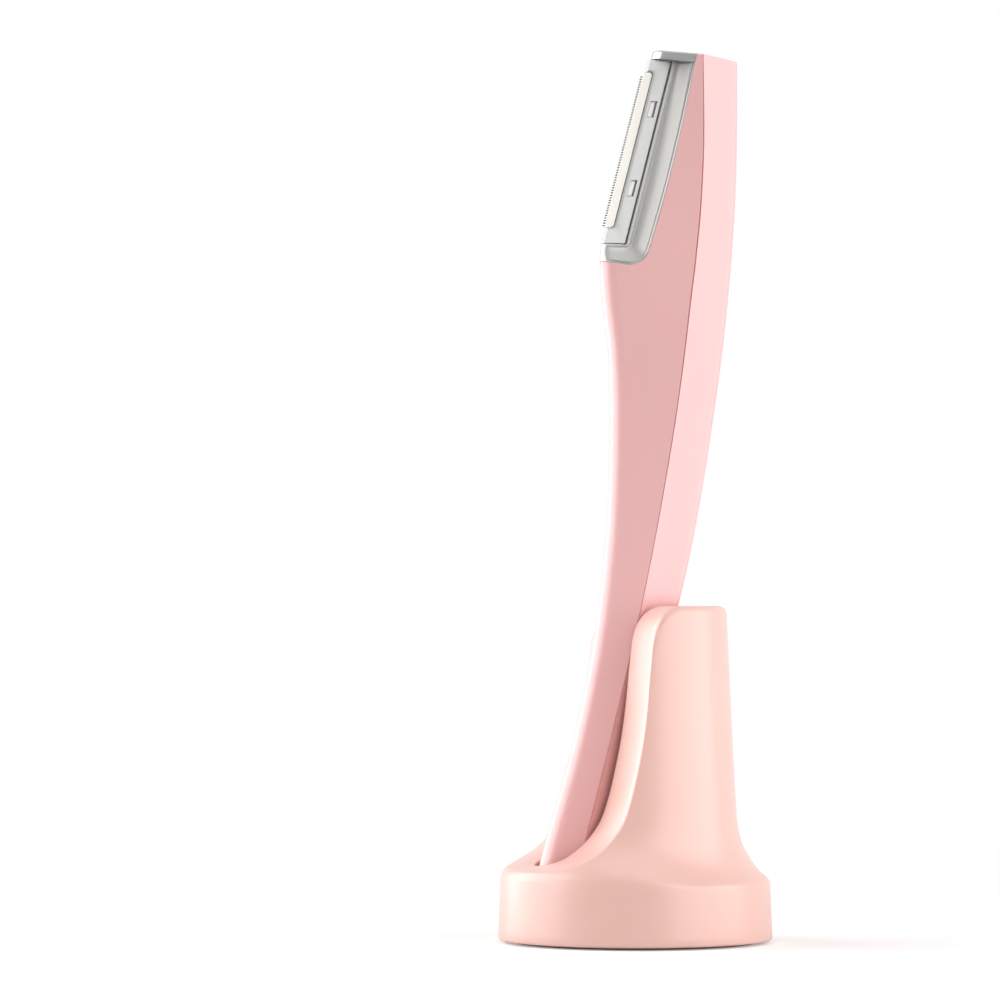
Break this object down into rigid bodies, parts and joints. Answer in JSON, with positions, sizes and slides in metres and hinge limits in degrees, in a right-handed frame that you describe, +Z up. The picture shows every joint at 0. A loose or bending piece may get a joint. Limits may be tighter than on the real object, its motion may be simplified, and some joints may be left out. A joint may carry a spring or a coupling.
{
  "type": "electric dermaplaning tool",
  "caption": "Slim battery dermaplaning wand with a clip-on guarded blade on a silver head, standing in a round scooped holder.",
  "frame": {"origin": "middle of the stand's underside, on the surface that it stands on", "axes": "+Z up along the object's height; the blade and the open front of the stand face -X; the object is symmetric about the XZ plane"},
  "size_m": [0.0516, 0.0516, 0.1682],
  "materials": {
    "wand_pink": "fine satin",
    "button_pink": "fine satin",
    "stand_peach": "fine satin",
    "satin_silver": "satin silver",
    "cartridge_silver": "silver finish",
    "coated_blade": "pale coated steel",
    "steel": "plain",
    "base_white": "plain",
    "inner_white": "plain",
    "grey_rubber": "matt",
    "weight_iron": "plain",
    "brass": "plain",
    "board_green": "solder resist",
    "black_plastic": "plain",
    "red_insulation": "plain",
    "lens_plastic": "clear",
    "led_body": "clear",
    "cell_foil": "foil wrap",
    "socket_steel": "plated"
  },
  "bodies": {
    "stand": {"stand_body": "stand_peach", "stand_foot": "stand_peach", "stand_weight": "weight_iron", "base_plate": "base_white", "anti_slip_pad": "grey_rubber", "base_screw_1": "steel", "base_screw_2": "steel", "base_screw_3": "steel"},
    "wand": {"front_shell": "wand_pink", "rear_shell": "wand_pink", "nosepiece": "satin_silver", "indicator_lens": "lens_plastic", "indicator_led": "led_body", "tactile_switch": "black_plastic", "circuit_board": "board_green", "battery_cell": "cell_foil", "inner_chassis": "inner_white", "head_bracket": "inner_white", "charge_socket": "socket_steel", "charge_lead_red": "red_insulation", "charge_lead_black": "black_plastic", "battery_lead_red": "red_insulation", "battery_lead_black": "black_plastic", "motor_lead_red": "red_insulation", "motor_lead_black": "black_plastic", "motor_can": "steel", "motor_sleeve": "grey_rubber", "nosepiece_screw_1": "steel", "nosepiece_screw_2": "steel"},
    "motor_rotor": {"motor_shaft": "steel", "eccentric_weight": "brass"},
    "power_button": {"power_button": "button_pink"},
    "cartridge": {"cartridge_body": "cartridge_silver", "cartridge_blade": "coated_blade", "cartridge_guard": "steel"}
  },
  "joints": [
    {"name": "wand_lift", "type": "slide", "parent": "stand", "child": "wand", "axis": [0.2759, 0, 0.9612], "range_m": [0, 0.065]},
    {"name": "cartridge_pull", "type": "slide", "parent": "wand", "child": "cartridge", "axis": [-0.9911, 0, 0.1328], "range_m": [0, 0.006]},
    {"name": "button_press", "type": "slide", "parent": "wand", "child": "power_button", "axis": [-0.9904, 0, 0.1383], "range_m": [0, 0.0005], "stiffness_N_per_m": 600},
    {"name": "motor_spin", "type": "hinge", "parent": "wand", "child": "motor_rotor", "pos_m": [0.01304, 0, 0.14523], "axis": [0.2425, 0, 0.9701], "continuous": true}
  ]
}
